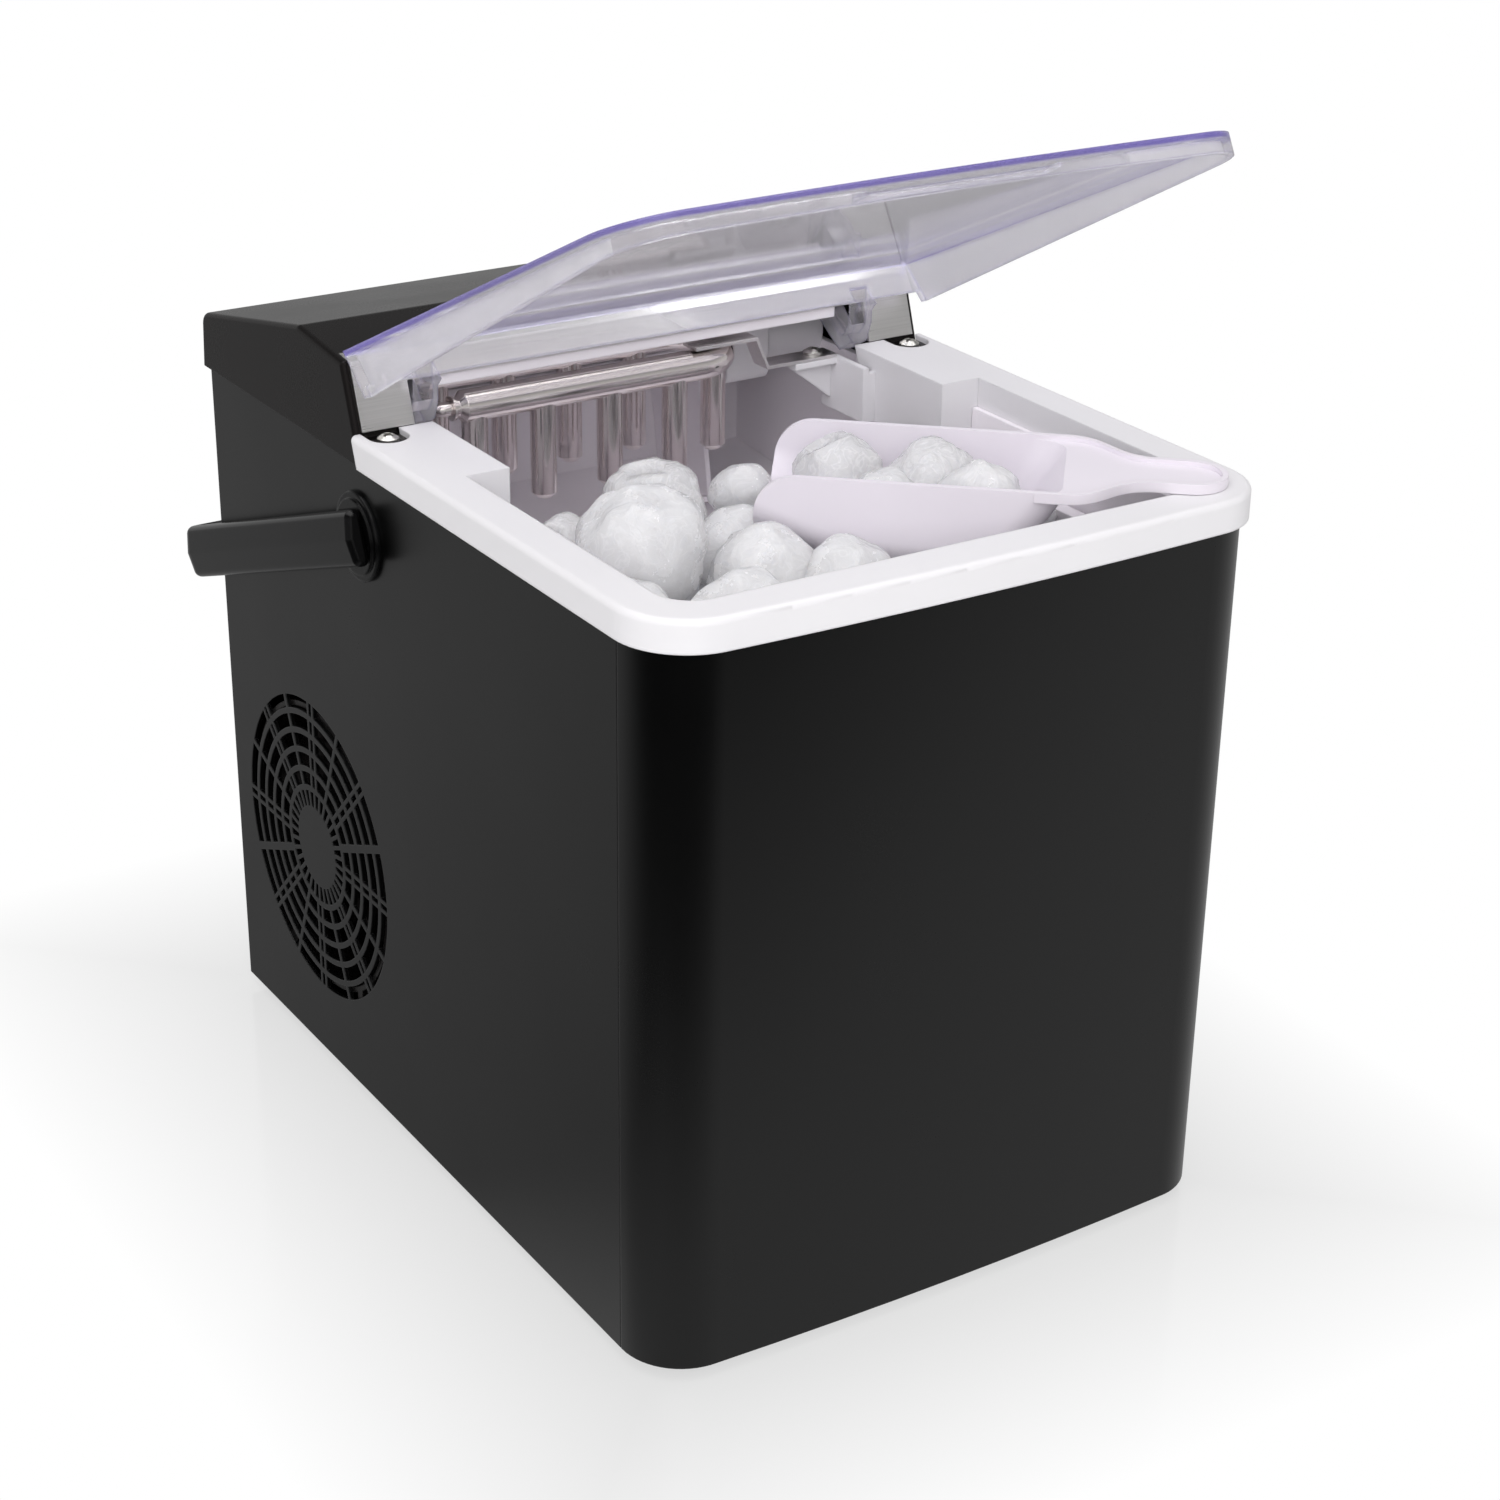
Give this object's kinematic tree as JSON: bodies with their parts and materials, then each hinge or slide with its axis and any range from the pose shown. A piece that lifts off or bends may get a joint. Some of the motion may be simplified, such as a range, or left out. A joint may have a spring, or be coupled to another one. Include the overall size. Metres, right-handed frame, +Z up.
{
  "type": "ice maker",
  "caption": "Countertop ice maker with a black casing, a white-rimmed bin under a clear hinged lid, a finger evaporator, a tipping tray, a scoop, a fan grille and a folding carry handle.",
  "frame": {"origin": "centre of the bounding box at the underside of the feet, with the lid part open as in the picture", "axes": "+Z up, -Y towards the front of the bin, +X to the right seen from the front"},
  "size_m": [0.2456, 0.3334, 0.3735],
  "materials": {
    "black_satin_paint": "satin",
    "black_plastic": "satin",
    "gloss_black_plastic": "gloss",
    "white_plastic": "semi-gloss",
    "lilac_white_plastic": "semi-gloss",
    "clear_plastic": "clear",
    "pale_scoop_plastic": "gloss",
    "brushed_steel": "brushed",
    "nickel_plate": "bright",
    "zinc_steel": "plated",
    "copper": "bare",
    "aluminium": "mill",
    "black_rubber": "matte",
    "grey_foam": "foam",
    "green_board": "coated",
    "lens_plastic": "clear"
  },
  "bodies": {
    "casing": {"feet": "black_rubber", "base_pan": "black_satin_paint", "front_panel": "black_satin_paint", "left_side_panel": "black_satin_paint", "right_side_panel": "black_satin_paint", "rear_panel": "black_satin_paint", "cord_gland": "black_rubber", "drain_spout": "black_plastic", "drain_hose": "black_rubber", "rim_frame": "white_plastic", "rear_top_cover": "black_plastic", "hinge_plate": "brushed_steel", "cover_screws": "zinc_steel", "control_fascia": "gloss_black_plastic", "indicator_lenses": "lens_plastic", "control_board": "green_board", "lid_hinge_pins": "zinc_steel", "handle_hubs": "gloss_black_plastic", "inner_tank": "lilac_white_plastic", "ice_chute": "lilac_white_plastic", "chamber_roof": "lilac_white_plastic", "insulation": "grey_foam", "evaporator": "nickel_plate", "evaporator_bracket": "brushed_steel", "bracket_screw": "zinc_steel", "suction_line": "nickel_plate", "hot_gas_line": "nickel_plate", "hot_gas_valve": "zinc_steel", "tray_bearing": "white_plastic", "tray_gear_motor": "white_plastic", "fan_motor": "black_plastic", "fan_shroud": "black_plastic", "condenser_fins": "aluminium", "condenser_coil": "copper", "condenser_frame": "aluminium", "compressor": "black_satin_paint", "compressor_mounts": "black_rubber", "filter_drier": "copper", "water_pump": "black_plastic", "water_tube": "clear_plastic", "ice_sensors": "black_plastic", "casing_screws": "zinc_steel"},
    "lid": {"lid": "clear_plastic"},
    "handle": {"carry_handle": "gloss_black_plastic"},
    "tray": {"freeze_tray": "lilac_white_plastic"},
    "fan": {"fan_blades": "black_plastic", "fan_shaft": "zinc_steel"},
    "basket": {"ice_basket": "lilac_white_plastic"},
    "scoop": {"scoop": "pale_scoop_plastic"},
    "power_button": {"power_button": "black_plastic"},
    "select_button": {"select_button": "black_plastic"},
    "drain_plug": {"drain_plug": "black_rubber"}
  },
  "joints": [
    {"name": "lid_hinge", "type": "hinge", "parent": "casing", "child": "lid", "pos_m": [0, 0.05141, 0.273], "axis": [-1, 0, 0], "range_deg": [-28.4, 33.6]},
    {"name": "handle_swing", "type": "hinge", "parent": "casing", "child": "handle", "pos_m": [0, 0.02891, 0.2263], "axis": [-1, 0, 0], "range_deg": [-110, 0]},
    {"name": "tray_tilt", "type": "hinge", "parent": "casing", "child": "tray", "pos_m": [0, 0.07941, 0.255], "axis": [-1, 0, 0], "range_deg": [0, 80]},
    {"name": "fan_spin", "type": "hinge", "parent": "casing", "child": "fan", "pos_m": [-0.1, 0.07811, 0.08977], "axis": [-1, 0, 0], "continuous": true},
    {"name": "basket_lift", "type": "slide", "parent": "casing", "child": "basket", "axis": [0, 0, 1], "range_m": [0, 0.03]},
    {"name": "scoop_lift", "type": "slide", "parent": "basket", "child": "scoop", "axis": [0, 0, 1], "range_m": [0, 0.03]},
    {"name": "power_press", "type": "slide", "parent": "casing", "child": "power_button", "axis": [0, 0.1051, -0.9945], "range_m": [0, 0.001], "stiffness_N_per_m": 1500, "springref_m": -0.0008},
    {"name": "select_press", "type": "slide", "parent": "casing", "child": "select_button", "axis": [0, 0.1051, -0.9945], "range_m": [0, 0.001], "stiffness_N_per_m": 1500, "springref_m": -0.0008},
    {"name": "drain_pull", "type": "slide", "parent": "casing", "child": "drain_plug", "axis": [0, 1, 0], "range_m": [0, 0.012]}
  ]
}
